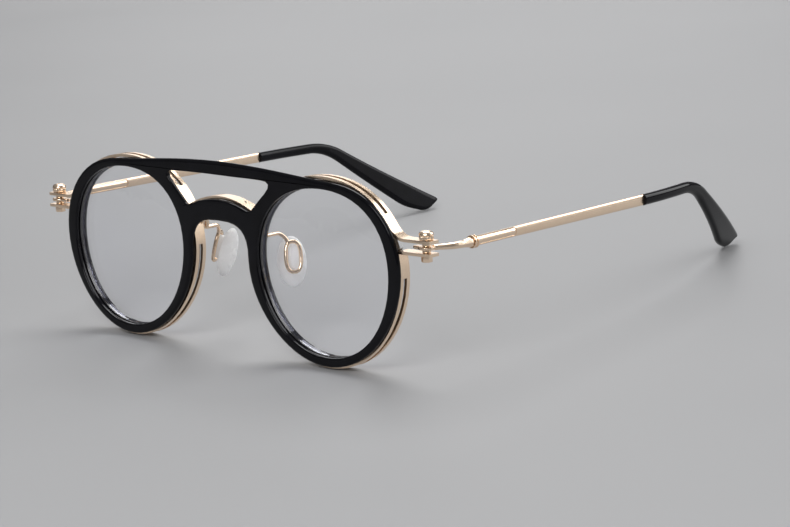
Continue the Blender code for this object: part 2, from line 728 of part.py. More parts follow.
def hinge_arm():
    """The temple's eye plate with its heel, and the wire that sweeps out from it to the collar."""
    heel_end = [(-HEEL_LENGTH + HEEL_HALF * (1 - math.cos(math.radians(d))), HEEL_HALF * math.sin(math.radians(d)))
                for d in arc_degrees(60.0, -60.0, 20.0)]
    meet = math.degrees(math.asin(HEEL_HALF / EYE_PLATE_RADIUS))
    disc = [(EYE_PLATE_RADIUS * math.cos(math.radians(d)), EYE_PLATE_RADIUS * math.sin(math.radians(d)))
            for d in arc_degrees(meet - 180.0, 180.0 - meet, 15.0)]
    low, high = HINGE_HEIGHT - EYE_PLATE / 2, HINGE_HEIGHT + EYE_PLATE / 2
    arm = flat_solid("hinge_arm", [disc + heel_end], low, high, axis="Z")
    start = Vector((EYE_PLATE_RADIUS * 0.35, EYE_PLATE_RADIUS * 0.6, HINGE_HEIGHT))
    end = Vector((TEMPLE_OUT, COLLAR_BACK - FLARE_LENGTH, TEMPLE_Z))
    path = bezier([start, start + Vector((WIRE_SWEEP_OUT, WIRE_SWEEP_BACK, 0.0)),
                   end - Vector((0.0, WIRE_EASE, 0.0)), end], 9)
    radii = [WIRE_START_RADIUS + (WIRE_RADIUS - WIRE_START_RADIUS) * i / 9 for i in range(10)]
    path += [(TEMPLE_OUT, COLLAR_BACK - HINGE_PLAY - FLARE_LENGTH * 0.25, TEMPLE_Z),
             (TEMPLE_OUT, COLLAR_BACK - HINGE_PLAY, TEMPLE_Z),
             (TEMPLE_OUT, COLLAR_BACK - HINGE_PLAY + 0.001 * MM, TEMPLE_Z),
             (TEMPLE_OUT, COLLAR_BACK + COLLAR_LENGTH - HINGE_PLAY, TEMPLE_Z)]
    radii += [FLARE_RADIUS, FLARE_RADIUS, WIRE_RADIUS, WIRE_RADIUS]
    join(arm, tube("wire", path, radii))
    cut(arm, cylinder("eye", SCREW_RADIUS + BORE_PLAY, low - EYE_PLATE, high + EYE_PLATE))
    pair(move_to_hinge(arm), TITANIUM, moving=True)


def lay_along_temple(thing, start_y):
    """Turns a piece made along Z so that it runs back along the temple from this depth."""
    thing.data.transform(Matrix.Translation((TEMPLE_X, start_y, TEMPLE_Z)) @ Matrix.Rotation(-math.pi / 2, 4, "X"))
    return thing


def temple_collar():
    bore = WIRE_RADIUS + BORE_PLAY
    groove = COLLAR_RADIUS - COLLAR_GROOVE
    length = COLLAR_LENGTH - HINGE_PLAY
    profile = [(bore, length), (COLLAR_RADIUS, length), (COLLAR_RADIUS, length - COLLAR_RIDGE),
               (groove, length - COLLAR_RIDGE), (groove, COLLAR_RIDGE), (COLLAR_RADIUS, COLLAR_RIDGE),
               (COLLAR_RADIUS, 0.0), (bore, 0.0), (bore, length)]
    pair(lay_along_temple(turned("temple_collar", profile), COLLAR_Y), TITANIUM, moving=True)


def tip_place(s):
    """(depth, height, direction) of the temple tip's middle line, s behind the junction."""
    bend = math.radians(TIP_BEND_DEG)
    arc = TIP_BEND_RADIUS * bend
    if s <= TIP_STRAIGHT:
        return JUNCTION_Y + s, TEMPLE_Z, 0.0
    turn = min(s - TIP_STRAIGHT, arc) / TIP_BEND_RADIUS
    rest = max(0.0, s - TIP_STRAIGHT - arc)
    y = JUNCTION_Y + TIP_STRAIGHT + TIP_BEND_RADIUS * math.sin(turn) + rest * math.cos(turn)
    z = TEMPLE_Z - TIP_BEND_RADIUS * (1 - math.cos(turn)) - rest * math.sin(turn)
    return y, z, -turn


def tip_inward(s):
    return TIP_INWARD * max(0.0, s / TIP_LENGTH) ** 1.9


def follow_tip(s, across, out):
    """The point this far along the tip, above its middle line and outwards from it."""
    y, z, turn = tip_place(s)
    twist = math.radians(TIP_TWIST_DEG) * max(0.0, s / TIP_LENGTH - TIP_TWIST_START) / (1 - TIP_TWIST_START)
    across, out = (across * math.cos(twist) - out * math.sin(twist),
                   out * math.cos(twist) + across * math.sin(twist))
    return (TEMPLE_X - tip_inward(s) + out, y - across * math.sin(turn), z + across * math.cos(turn))


def bar_section(y_or_s, half_height, half_thickness, in_tip):
    corners = [(half_height, half_thickness), (half_height, -half_thickness),
               (-half_height, -half_thickness), (-half_height, half_thickness)]
    if in_tip:
        return [follow_tip(y_or_s, across, out) for across, out in corners]
    return [(TEMPLE_X + out, y_or_s, TEMPLE_Z + across) for across, out in corners]


def core(name, clearance, start, length):
    steps = 12
    return loft(name, [bar_section(start + (length - start) * i / steps, CORE_HEIGHT / 2 + clearance,
                                   CORE_THICKNESS / 2 + clearance, True) for i in range(steps + 1)])


def temple_bar():
    """The flat bar with the round boss at its front and the core wire inside the tip."""
    bar = loft("temple_bar", [bar_section(BAR_Y, BAR_FRONT_HEIGHT / 2, BAR_THICKNESS / 2, False),
                              bar_section(JUNCTION_Y, BAR_BACK_HEIGHT / 2, BAR_THICKNESS / 2, False)])
    end = BOSS_LENGTH - BOSS_RADIUS
    profile = [(0.0, BOSS_LENGTH)]
    profile += [(BOSS_RADIUS * math.sin(math.radians(d)), end + BOSS_RADIUS * math.cos(math.radians(d)))
                for d in (30, 60, 90)]
    profile += [(BOSS_RADIUS, 0.0), (0.0, 0.0)]
    join(bar, lay_along_temple(turned("boss", profile, steps=20), BAR_Y))
    join(bar, core("core", 0.0, -CORE_ROOT, CORE_LENGTH))
    pair(bar, TITANIUM, moving=True)


def tip_half_height(s):
    share = max(0.0, s / TIP_LENGTH)
    return TIP_START_HALF + (TIP_END_HALF - TIP_START_HALF) * max(0.0, (share - 0.3) / 0.7) ** 1.3


def temple_tip():
    """A lofted acetate tip: round at the front, bent down and in, and a flat paddle at its end."""
    sections = []
    stations = [0.0, TIP_MOUTH] + [TIP_LENGTH * i / 20 for i in range(1, 21)]
    for s in stations:
        shrink = TIP_MOUTH_INSET if s == 0.0 else 0.0
        half = tip_half_height(s) - shrink
        thick = TIP_THICKNESS_HALF - shrink
        section = []
        for d in range(0, 360, 24):
            c, n = math.cos(math.radians(d)), math.sin(math.radians(d))
            power = 0.75
            across = math.copysign(abs(n) ** power, n) * half
            out = math.copysign(abs(c) ** power, c) * thick
            section.append(follow_tip(s, across, out))
        sections.append(section)
    tip = loft("temple_tip", sections)
    y, z, turn = tip_place(TIP_LENGTH)
    along = Vector((0, math.cos(turn), math.sin(turn)))
    upward = Vector((0, -math.sin(turn), math.cos(turn)))
    top_corner = Vector((0, y, z)) + upward * TIP_END_HALF
    bm = bmesh.new()
    bm.from_mesh(tip.data)
    slant = math.radians(TIP_END_SLANT_DEG)
    toe_corner = top_corner - (upward * math.cos(slant) + along * math.sin(slant)) * TIP_HEEL / math.cos(slant)
    for tilt, point in ((TIP_END_SLANT_DEG, top_corner), (TIP_TOE_DEG, toe_corner)):
        lean = math.radians(tilt)
        normal = along * math.cos(lean) - upward * math.sin(lean)
        bmesh.ops.bisect_plane(bm, geom=bm.verts[:] + bm.edges[:] + bm.faces[:], plane_co=point,
                               plane_no=normal, clear_outer=True)
        bmesh.ops.holes_fill(bm, edges=[edge for edge in bm.edges if edge.is_boundary])
    corners = [edge for edge in bm.edges if edge.calc_face_angle(0) > math.radians(40)
               and min(v.co.y for v in edge.verts) > JUNCTION_Y + TIP_STRAIGHT]
    bmesh.ops.bevel(bm, geom=corners, offset=TIP_EDGE, segments=2, profile=0.5, affect="EDGES")
    bm.to_mesh(tip.data)
    bm.free()
    cut(tip, core("hollow", CORE_CLEARANCE, -CORE_ROOT, CORE_LENGTH + CORE_CLEARANCE))
    pair(tip, ACETATE, moving=True)


# Nose pads

def pad_frame():
    """Where a pad sits: X away from the nose, Y forward along its width, Z up its length."""
    turn = (Matrix.Rotation(math.radians(-PAD_SPLAY_DEG), 4, "Z")
            @ Matrix.Rotation(math.radians(-PAD_LEAN_DEG), 4, "Y")
            @ Matrix.Rotation(math.radians(-PAD_TOE_DEG), 4, "X"))
    return Matrix.Translation((PAD_OUT, PAD_BACK, -PAD_DROP)) @ turn


def loop_point(degrees):
    """A point on the middle of the wire loop that carries the pad, in the pad's frame."""
    angle = math.radians(degrees)
    across = math.copysign(abs(math.cos(angle)) ** 0.75, math.cos(angle)) * LOOP_WIDTH / 2
    up = math.copysign(abs(math.sin(angle)) ** 0.75, math.sin(angle)) * LOOP_HEIGHT / 2
    return Vector((LOOP_STANDOFF + LOOP_SKEW * across, across - LOOP_FORWARD, LOOP_RISE + up))


def nose_pad():
    """A soft oval pad, rounded towards the nose, with the stud on its back that fills the loop."""
    bm = bmesh.new()
    bmesh.ops.create_uvsphere(bm, u_segments=20, v_segments=12, radius=1.0)
    for vertex in bm.verts:
        depth = vertex.co.x * (0.45 if vertex.co.x > 0 else 1.0)
        vertex.co = Vector((depth * PAD_THICKNESS * 0.69, vertex.co.y * PAD_WIDTH / 2,
                            vertex.co.z * PAD_HEIGHT / 2))
    pad = object_from_bmesh("nose_pad", bm)
    inside = ARM_WIRE_RADIUS + BORE_PLAY
    stud = [((LOOP_WIDTH / 2 - inside) * math.sin(math.radians(d)) - LOOP_FORWARD,
             LOOP_RISE + (LOOP_HEIGHT / 2 - inside) * math.cos(math.radians(d))) for d in range(0, 360, 20)]
    post = flat_solid("stud", [stud], 0.0, LOOP_STANDOFF + ARM_WIRE_RADIUS, axis="X")
    join(pad, post)
    pad.data.transform(pad_frame())
    pair(pad, SILICONE)


def pad_arm():
    """Wire from the rim's back edge, down and back, into the loop that carries the pad."""
    place = pad_frame()
    loop = [place @ loop_point(d) for d in range(0, 360, 20)]
    arm = tube("pad_arm", loop, [ARM_WIRE_RADIUS] * len(loop), closed=True)
    root_x = eye_point(BAND, 180.0 - math.degrees(math.asin(ARM_ROOT_HEIGHT / BAND_RADIUS)))[0]
    back = BAND_BACK + wrap(root_x) + ARM_WIRE_RADIUS + WELD_GAP
    root = Vector((root_x, back, ARM_ROOT_HEIGHT))
    curl = Vector((root_x - ARM_DRIFT, back, ARM_HEIGHT))
    bend = Vector((root_x - 2 * ARM_DRIFT, back + ARM_BACK, ARM_HEIGHT))
    landing = place @ loop_point(LOOP_LANDING_DEG)
    above = landing + (place @ loop_point(LOOP_LANDING_DEG) - place @ loop_point(LOOP_LANDING_DEG + 40)) * 0.6
    path = bezier([root, curl.lerp(root, 0.15), curl, curl.lerp(bend, 0.25)], 5)
    path += bezier([curl.lerp(bend, 0.8), bend, above, landing], 7)
    join(arm, tube("wire", path, [ARM_WIRE_RADIUS] * len(path)))
    pair(arm, TITANIUM)


# Rest on the floor

def lay_on_floor():
    """Tilts and lifts the layout until rims and tips touch the floor, and centres it front to back."""
    bpy.context.view_layer.update()
    points = []
    for thing in glasses.objects:
        if thing.type == "MESH":
            place = layout.matrix_world.inverted() @ thing.matrix_world
            points += [place @ vertex.co for vertex in thing.data.vertices]
    front = [p for p in points if p.y < JUNCTION_Y / 2]
    back = [p for p in points if p.y >= JUNCTION_Y / 2]
    lean = 0.0
    for _ in range(6):
        up = Vector((0, math.sin(lean), math.cos(lean)))
        fore, aft = min(front, key=up.dot), min(back, key=up.dot)
        lean = -math.atan2(aft.z - fore.z, aft.y - fore.y)
    placed = [Matrix.Rotation(lean, 4, "X") @ p for p in points]
    low = min(p.z for p in placed)
    middle = (min(p.y for p in placed) + max(p.y for p in placed)) / 2
    layout.rotation_euler = (lean, 0, 0)
    layout.location = (0, -middle, -low)
    bpy.context.view_layer.update()


acetate_front()
inner_ring()
lens()
rim_band()
bridge_band()
hinge_screw()
hinge_nut()
washers()
hinge_arm()
temple_collar()
temple_bar()
temple_tip()
nose_pad()
pad_arm()
lay_on_floor()
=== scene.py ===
"""Looks for the round eyeglasses: materials, fine edges, full curves, small details, camera and light."""

import math

import bmesh
import bpy
from mathutils import Matrix, Vector


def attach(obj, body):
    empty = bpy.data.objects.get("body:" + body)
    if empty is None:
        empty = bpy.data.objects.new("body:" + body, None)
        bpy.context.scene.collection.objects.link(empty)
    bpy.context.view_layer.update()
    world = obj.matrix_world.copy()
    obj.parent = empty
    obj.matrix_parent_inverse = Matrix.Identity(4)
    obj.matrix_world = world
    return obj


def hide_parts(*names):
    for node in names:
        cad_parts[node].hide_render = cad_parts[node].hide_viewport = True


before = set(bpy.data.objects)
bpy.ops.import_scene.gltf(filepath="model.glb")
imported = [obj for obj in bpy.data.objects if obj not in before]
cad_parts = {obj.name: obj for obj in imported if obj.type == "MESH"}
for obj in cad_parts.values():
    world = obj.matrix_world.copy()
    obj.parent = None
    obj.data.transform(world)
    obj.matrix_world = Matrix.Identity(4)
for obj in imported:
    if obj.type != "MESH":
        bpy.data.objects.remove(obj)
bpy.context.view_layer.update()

MM = 0.001
SIDES = (("left", -1), ("right", 1))

# The camera fitted to the photograph
CAMERA_PLACE = Vector((485.95, -532.58, 186.40)) * MM
CAMERA_AZIMUTH_DEG = 42.799
CAMERA_ELEVATION_DEG = 14.029
CAMERA_ROLL_DEG = -4.666
CAMERA_LENS = 121.42
CAMERA_SENSOR = 36.0

# Lamps: name, azimuth and elevation in degrees, distance and size in metres, and power
LAMPS = (("key", 214.0, 58.0, 1.1, 0.7, 6.4),
         ("back", 155.0, 30.0, 1.2, 0.9, 6.0),
         ("side", 125.0, 14.0, 0.9, 0.6, 0.7),
         ("fill", 25.0, 38.0, 0.9, 0.5, 4.0),
         ("low", 223.0, 17.0, 1.2, 0.6, 1.1))
LAMP_TARGET = Vector((0.0, -0.03, 0.02))
WORLD_STRENGTH = 0.36
WORLD_BELOW = (0.30, 0.30, 0.31)
WORLD_ABOVE = (0.85, 0.86, 0.88)
FLOOR_RADIUS = 3.0
FLOOR_NEAR = 0.6
FLOOR_FAR = 2.0

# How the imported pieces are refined, in millimetres: edge widths, and voxel size with rounds of smoothing
WELD_DISTANCE = 0.002
BEVEL_FROM_DEG = 32.0
EDGE_WIDTHS = {"rim_band": 0.12, "bridge_band": 0.12, "hinge_nut": 0.12, "upper_washer": 0.08,
               "lower_washer": 0.08, "temple_collar": 0.1}
SOFTENED = {"nose_pad": (0.16, 14), "pad_arm": (0.09, 20), "hinge_arm": (0.12, 12)}

# How the upright front of part.py lies at rest
LAYOUT_PLACE = (0.0, -74.1258, 25.0417)
LAYOUT_LEAN_DEG = -3.99926

# Places and sizes from here on are in millimetres in that upright layout. What the solids share is as in part.py.

# Hinge screw
HINGE_X, HINGE_Y = 66.91, 5.132
SCREW_SEAT, SCREW_END = 10.775, 5.275
SCREW_HEAD_HEIGHT = 2.25
SCREW_RADIUS = 0.6
KNURL_RADIUS = 1.7
KNURL_HEIGHT = 1.02
KNURL_TEETH = 24
KNURL_DEPTH = 0.09
CAP_GAP = 0.08
CAP_RIM = 0.27
CAP_RADIUS = 1.84
CAP_FULLNESS = 0.8

# Temple bar with its boss
TEMPLE_X, TEMPLE_Z = 71.01, 8.7
BAR_START, BAR_END = 18.532, 86.782
BAR_FRONT_HALF, BAR_BACK_HALF, BAR_THICKNESS_HALF = 1.25, 1.45, 0.5
BAR_STEPS = 24
STUB_HALF, STUB_THICKNESS_HALF, STUB_LENGTH = 0.62, 0.33, 4.0
BOSS_RADIUS = 1.05
BOSS_LENGTH = 15.2
BOSS_LIFT = 0.17
GROOVE_RADIUS = 0.2
GROOVE_REACH = 1.02
GROOVE_CENTRE = 0.46

# Temple tip
TIP_LENGTH = 68.6
TIP_THICKNESS_HALF = 1.3
TIP_START_HALF, TIP_END_HALF = 1.5, 4.55
TIP_WIDENING_POWER = 1.3
TIP_STRAIGHT = 20.0
TIP_BEND_RADIUS = 20.0
TIP_BEND_DEG = 34.6
TIP_TWIST_DEG = 15.0
TIP_TWIST_START = 0.3
TIP_INWARD = 15.8
TIP_INWARD_POWER = 1.9
TIP_HEEL = 6.1
TIP_END_SLANT_DEG = 28.0
TIP_TOE_DEG = 73.0
TIP_ROUNDING = 1.2
TIP_STEPS = 110
TOP_CORNER, HEEL_CORNER, TOE_CORNER = 1.9, 2.6, 2.3

# Points of the small details, for the positive side
CURL_POINTS = ((10.55, 4.4, 7.6), (10.5, 5.6, 8.3), (10.6, 6.5, 7.6), (10.8, 6.6, 6.5), (11.3, 6.4, 6.0))
CURL_RADIUS = 0.6
# A near-black line of painted shade along a recess of the bridge band, on the positive side only
SHADE_LINE_POINTS = ((6.75, 3.65, 14.93), (7.1, 3.52, 14.9), (7.5, 3.38, 14.75))
SHADE_LINE_RADIUS = 0.14

scene = bpy.context.scene
scene.view_settings.view_transform = "Standard"


# Materials

class Shader:
    """A material with a Principled node and short calls for the nodes in front of it."""

    def __init__(self, name):
        self.material = bpy.data.materials.new(name)
        self.material.use_nodes = True
        self.tree = self.material.node_tree
        self.principled = self.tree.nodes["Principled BSDF"]
        self.output = self.tree.nodes["Material Output"]
        self.place = self.node("ShaderNodeTexCoord").outputs["Object"]

    def node(self, kind, **inputs):
        made = self.tree.nodes.new(kind)
        for name, value in inputs.items():
            self.plug(made.inputs[name.replace("_", " ")], value)
        return made

    def plug(self, socket, value):
        if isinstance(value, bpy.types.NodeSocket):
            self.tree.links.new(value, socket)
        else:
            socket.default_value = value

    def set(self, **inputs):
        for name, value in inputs.items():
            self.plug(self.principled.inputs[name.replace("_", " ")], value)

    def noise(self, scale, detail=2.0, stretch=None):
        where = self.place
        if stretch:
            where = self.node("ShaderNodeMapping", Scale=stretch, Vector=where).outputs["Vector"]
        return self.node("ShaderNodeTexNoise", Scale=scale, Detail=detail, Vector=where).outputs["Fac"]

    def range(self, value, low, high, spread):
        return self.node("ShaderNodeMapRange", Value=value, From_Min=spread[0], From_Max=spread[1],
                         To_Min=low, To_Max=high).outputs["Result"]

    def varied(self, scale, low, high, detail=2.0, spread=(0.3, 0.7)):
        """A number that drifts between low and high over the surface."""
        return self.range(self.noise(scale, detail), low, high, spread)

    def blend(self, value, first, second):
        made = self.tree.nodes.new("ShaderNodeMix")
        made.data_type = "RGBA"
        self.plug(made.inputs["Factor"], value)
        self.plug(made.inputs["A"], (*first, 1.0) if isinstance(first, tuple) else first)
        self.plug(made.inputs["B"], (*second, 1.0) if isinstance(second, tuple) else second)
        return made.outputs["Result"]

    def bump(self, height, strength, distance):
        made = self.node("ShaderNodeBump", Strength=strength, Distance=distance, Height=height)
        self.set(Normal=made.outputs["Normal"])

    def clear(self, colour):
        return self.node("ShaderNodeBsdfTransparent", Color=(*colour, 1.0)).outputs[0]

    def mix_surface(self, factor, first, second):
        mix = self.tree.nodes.new("ShaderNodeMixShader")
        for socket, value in zip(mix.inputs, (factor, first, second)):
            self.plug(socket, value)
        self.plug(self.output.inputs["Surface"], mix.outputs[0])


def black_acetate(name, ior):
    look = Shader(name)
    look.set(Base_Color=look.blend(look.varied(300.0, 0.0, 1.0), (0.003, 0.003, 0.004), (0.005, 0.005, 0.007)),
             Roughness=look.varied(900.0, 0.05, 0.09, 4.0), IOR=ior)
    look.bump(look.noise(5200.0, 3.0, (1.0, 0.3, 1.0)), 0.02, 0.005 * MM)
    return look.material


def champagne_titanium():
    look = Shader("satin_champagne_titanium")
    drift = look.varied(90.0, 0.0, 1.0, 1.0, (0.2, 0.8))
    look.set(Metallic=1.0, Base_Color=look.blend(drift, (0.90, 0.70, 0.52), (0.93, 0.74, 0.56)),
             Roughness=look.varied(160.0, 0.24, 0.28, 1.0, (0.2, 0.8)))
    return look.material


def clear_lens():
    """Nearly invisible when seen straight on, with a violet coating that mirrors at a flat angle."""
    look = Shader("coated_clear_lens")
    look.set(Base_Color=look.blend(look.varied(28.0, 0.0, 1.0), (0.72, 0.76, 1.0), (0.82, 0.80, 1.0)),
             Roughness=0.0, Metallic=1.0)
    steep = look.tree.nodes.new("ShaderNodeMath")
    steep.operation = "POWER"
    look.plug(steep.inputs[0], look.node("ShaderNodeLayerWeight", Blend=0.5).outputs["Facing"])
    steep.inputs[1].default_value = 4.0
    look.mix_surface(look.range(steep.outputs[0], 0.02, 0.8, (0.0, 1.0)), look.clear((0.975, 0.978, 0.985)),
                     look.principled.outputs[0])
    return look.material


def pad_silicone():
    """Milky silicone. Rays towards a lamp pass through, so that it throws only a faint shadow."""
    look = Shader("frosted_pad_silicone")
    look.set(Base_Color=look.blend(look.varied(180.0, 0.0, 1.0), (0.96, 0.965, 0.98), (0.98, 0.98, 0.985)),
             Roughness=look.varied(400.0, 0.22, 0.32), IOR=1.41, Subsurface_Weight=1.0,
             Subsurface_Radius=(1.0, 1.0, 1.0), Subsurface_Scale=4.0 * MM)
    rays = look.tree.nodes.new("ShaderNodeLightPath")
    look.mix_surface(rays.outputs["Is Shadow Ray"], look.principled.outputs[0], look.clear((0.75, 0.76, 0.78)))
    return look.material


# Near-black metal as painted shade: it keeps a recess dark whatever the light
def painted_shade_look():
    look = Shader("painted_shade_line")
    look.set(Metallic=1.0, Base_Color=look.blend(look.noise(900.0), (0.05, 0.035, 0.025), (0.09, 0.065, 0.05)),
             Roughness=0.5)
    return look.material


# Each kind of surface: its material, and the name of its slot in the record
LOOKS = {"front": (black_acetate("polished_black_acetate", 1.28), "black_acetate"),
         "ring": (black_acetate("glossy_black_acetate", 2.0), "black_acetate"),
         "tip": (black_acetate("moulded_black_acetate", 1.25), "black_acetate"),
         "titanium": (champagne_titanium(), "champagne_titanium"),
         "lens": (clear_lens(), "clear_lens"),
         "silicone": (pad_silicone(), "pad_silicone"),
         # Painted shade: the near-black look laid in a recess of the bridge band
         "painted_dark": (painted_shade_look(), "champagne_titanium")}
KINDS = {"acetate_front": "front", "inner_ring": "ring", "temple_tip": "tip", "lens": "lens",
         "nose_pad": "silicone"}


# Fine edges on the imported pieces

def smooth_faces(thing):
    attributes = thing.data.attributes
    for name in ("custom_normal", "sharp_edge", "sharp_face"):
        if name in attributes:
            attributes.remove(attributes[name])
    thing.data.shade_smooth()


def refine(thing, edge):
    """Joins the split corners, rounds the sharp edges a little and shades the curves smooth."""
    smooth_faces(thing)
    weld = thing.modifiers.new("weld", "WELD")
    weld.merge_threshold = WELD_DISTANCE * MM
    if edge:
        bevel = thing.modifiers.new("edges", "BEVEL")
        bevel.limit_method = "ANGLE"
        bevel.angle_limit = math.radians(BEVEL_FROM_DEG)
        bevel.width = edge * MM
        bevel.segments = 2
        bevel.use_clamp_overlap = True
    normals = thing.modifiers.new("normals", "WEIGHTED_NORMAL")
    normals.mode = "FACE_AREA_WITH_ANGLE"
    normals.keep_sharp = True
    normals.weight = 60


def soften(thing, voxel, rounds):
    """Fine even faces with every edge rounded over, for a moulded piece or a bent wire."""
    smooth_faces(thing)
    remesh = thing.modifiers.new("fine", "REMESH")
    remesh.mode = "VOXEL"
    remesh.voxel_size = voxel * MM
    remesh.use_smooth_shade = True
    smooth = thing.modifiers.new("soft", "SMOOTH")
    smooth.factor = 0.5
    smooth.iterations = rounds


for name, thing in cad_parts.items():
    piece = name.removesuffix("_left").removesuffix("_right")
    material, slot = LOOKS[KINDS.get(piece, "titanium")]
    thing.data.materials.clear()
    thing.data.materials.append(material)
    if piece in SOFTENED:
        soften(thing, *SOFTENED[piece])
    else:
        refine(thing, EDGE_WIDTHS.get(piece))


# Pieces of the scene's own

LAYOUT = Matrix.Translation(Vector(LAYOUT_PLACE) * MM) @ Matrix.Rotation(math.radians(LAYOUT_LEAN_DEG), 4, "X")


def lay(across, back, up):
    """A point of the upright layout, in millimetres, where the resting glasses have it."""
    return LAYOUT @ (Vector((across, back, up)) * MM)


def add(name, mesh_or_curve, kind, body="front"):
    made = bpy.data.objects.new(name, mesh_or_curve)
    scene.collection.objects.link(made)
    material, slot = LOOKS[kind]
    mesh_or_curve.materials.append(material)
    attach(made, body)
    return made


def stand_in(name, side, mesh, kind, body, smooth_deg):
    """A fuller piece in place of the plainer solid of this name and side."""
    made = add(f"{name}_shell_{side}", mesh, kind, body)
    mesh.name = made.name
    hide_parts(f"{name}_{side}")
    mesh.shade_smooth()
    mesh.set_sharp_from_angle(angle=math.radians(smooth_deg))


def wire(name, points, radius, kind):
    """A round wire on a smooth curve through these points, narrower at its ends."""
    curve = bpy.data.curves.new(name, "CURVE")
    curve.dimensions = "3D"
    curve.bevel_depth = radius * MM
    curve.bevel_resolution = 5
    curve.resolution_u = 10
    curve.use_fill_caps = True
    spline = curve.splines.new("BEZIER")
    spline.bezier_points.add(len(points) - 1)
    for point, place in zip(spline.bezier_points, points):
        point.co = place
        point.handle_left_type = point.handle_right_type = "AUTO"
    spline.bezier_points[0].radius = spline.bezier_points[-1].radius = 0.6
    add(name, curve, kind)


def angles(count):
    return [2 * math.pi * i / count for i in range(count)]


def arc(degrees):
    """Cosine and sine of each of these angles."""
    return [(math.cos(math.radians(d)), math.sin(math.radians(d))) for d in degrees]


def skin(name, loops):
    """Quads between closed loops of points, and a face over each end, as one closed mesh."""
    bm = bmesh.new()
    rows = [[bm.verts.new(point) for point in loop] for loop in loops]
    for first, second in zip(rows, rows[1:]):
        for i in range(len(first)):
            bm.faces.new((first[i - 1], first[i], second[i], second[i - 1]))
    bm.faces.new(rows[0])
    bm.faces.new(rows[-1])
    bmesh.ops.remove_doubles(bm, verts=bm.verts, dist=0.0005 * MM)
    bmesh.ops.recalc_face_normals(bm, faces=bm.faces)
    mesh = bpy.data.meshes.new(name)
    bm.to_mesh(mesh)
    bm.free()
    return mesh


def carved(first, steps):
    """The first solid after each of these Boolean steps, as one mesh."""
    helpers = []
    for mesh in [first] + [mesh for operation, mesh in steps]:
        helpers.append(bpy.data.objects.new("helper", mesh))
        scene.collection.objects.link(helpers[-1])
    for (operation, mesh), helper in zip(steps, helpers[1:]):
        boolean = helpers[0].modifiers.new("carve", "BOOLEAN")
        boolean.operation = operation
        boolean.object = helper
    bpy.context.view_layer.update()
    graph = bpy.context.evaluated_depsgraph_get()
    result = bpy.data.meshes.new_from_object(helpers[0].evaluated_get(graph))
    for helper in helpers:
        bpy.data.objects.remove(helper)
    return result


# Hinge screw

def screw_mesh(sign):
    """A domed cap over a knurled wall, and the shaft through the nut with a domed end."""
    knurl_top = SCREW_SEAT + KNURL_HEIGHT
    cap = knurl_top + CAP_GAP
    rim = cap + CAP_RIM
    dome = SCREW_SEAT + SCREW_HEAD_HEIGHT - rim
    shaft = [(0.02, SCREW_END - 0.12), (0.32, SCREW_END - 0.09), (0.52, SCREW_END + 0.02),
             (SCREW_RADIUS, SCREW_END + 0.15), (SCREW_RADIUS, SCREW_SEAT)]
    wall = [(1.6, SCREW_SEAT), (KNURL_RADIUS, SCREW_SEAT + 0.1), (KNURL_RADIUS, knurl_top - 0.06), (1.62, knurl_top)]
    lip = [(1.76, cap), (1.86, cap + 0.08), (1.88, cap + 0.16), (CAP_RADIUS, rim)]
    crown = [(CAP_RADIUS * c ** CAP_FULLNESS, rim + dome * s) for c, s in arc((14, 28, 42, 54, 66, 77, 89))]
    loops = []
    for radius, height in shaft + wall + lip + crown:
        ribs = KNURL_DEPTH if radius == KNURL_RADIUS else 0.0
        loop = []
        for angle in angles(4 * KNURL_TEETH):
            reach = radius + ribs * math.cos(KNURL_TEETH * angle)
            loop.append(lay(sign * (HINGE_X + reach * math.cos(angle)), HINGE_Y + reach * math.sin(angle), height))
        loops.append(loop)
    return skin("screw", loops)


# Temple tip

def turn_share(s):
    """From 0 where the tip starts to widen and twist to 1 at its end."""
    return max(0.0, (s / TIP_LENGTH - TIP_TWIST_START) / (1 - TIP_TWIST_START))


def tip_half(s):
    return TIP_START_HALF + (TIP_END_HALF - TIP_START_HALF) * turn_share(s) ** TIP_WIDENING_POWER


def along_tip(s, across, out):
    """The place of a point of the tip: s behind its mouth, across its height and outwards."""
    bend = TIP_BEND_RADIUS * math.radians(TIP_BEND_DEG)
    turn = min(max(s - TIP_STRAIGHT, 0.0), bend) / TIP_BEND_RADIUS
    rest = max(0.0, s - TIP_STRAIGHT - bend)
    y = BAR_END + min(s, TIP_STRAIGHT) + TIP_BEND_RADIUS * math.sin(turn) + rest * math.cos(turn)
    z = TEMPLE_Z - TIP_BEND_RADIUS * (1 - math.cos(turn)) - rest * math.sin(turn)
    twist = math.radians(TIP_TWIST_DEG) * turn_share(s)
    c, n = math.cos(twist), math.sin(twist)
    across, out = across * c - out * n, out * c + across * n
    inward = TIP_INWARD * max(0.0, s / TIP_LENGTH) ** TIP_INWARD_POWER
    return TEMPLE_X - inward + out, y + across * math.sin(turn), z + across * math.cos(turn)


def rounded_corner(before, corner, after, reach, count=8):
    start = corner + (before - corner).normalized() * reach
    end = corner + (after - corner).normalized() * reach
    steps = [i / count for i in range(count + 1)]
    return [start * (1 - t) ** 2 + corner * (2 * t * (1 - t)) + end * t * t for t in steps]


def evenly(points, count):
    """The same polyline with this many equal steps."""
    lengths = [0.0]
    for first, second in zip(points, points[1:]):
        lengths.append(lengths[-1] + (second - first).length)
    result, k = [], 0
    for i in range(count + 1):
        want = lengths[-1] * i / count
        while k < len(points) - 2 and lengths[k + 1] < want:
            k += 1
        share = (want - lengths[k]) / (lengths[k + 1] - lengths[k])
        result.append(points[k].lerp(points[k + 1], min(1.0, share)))
    return result


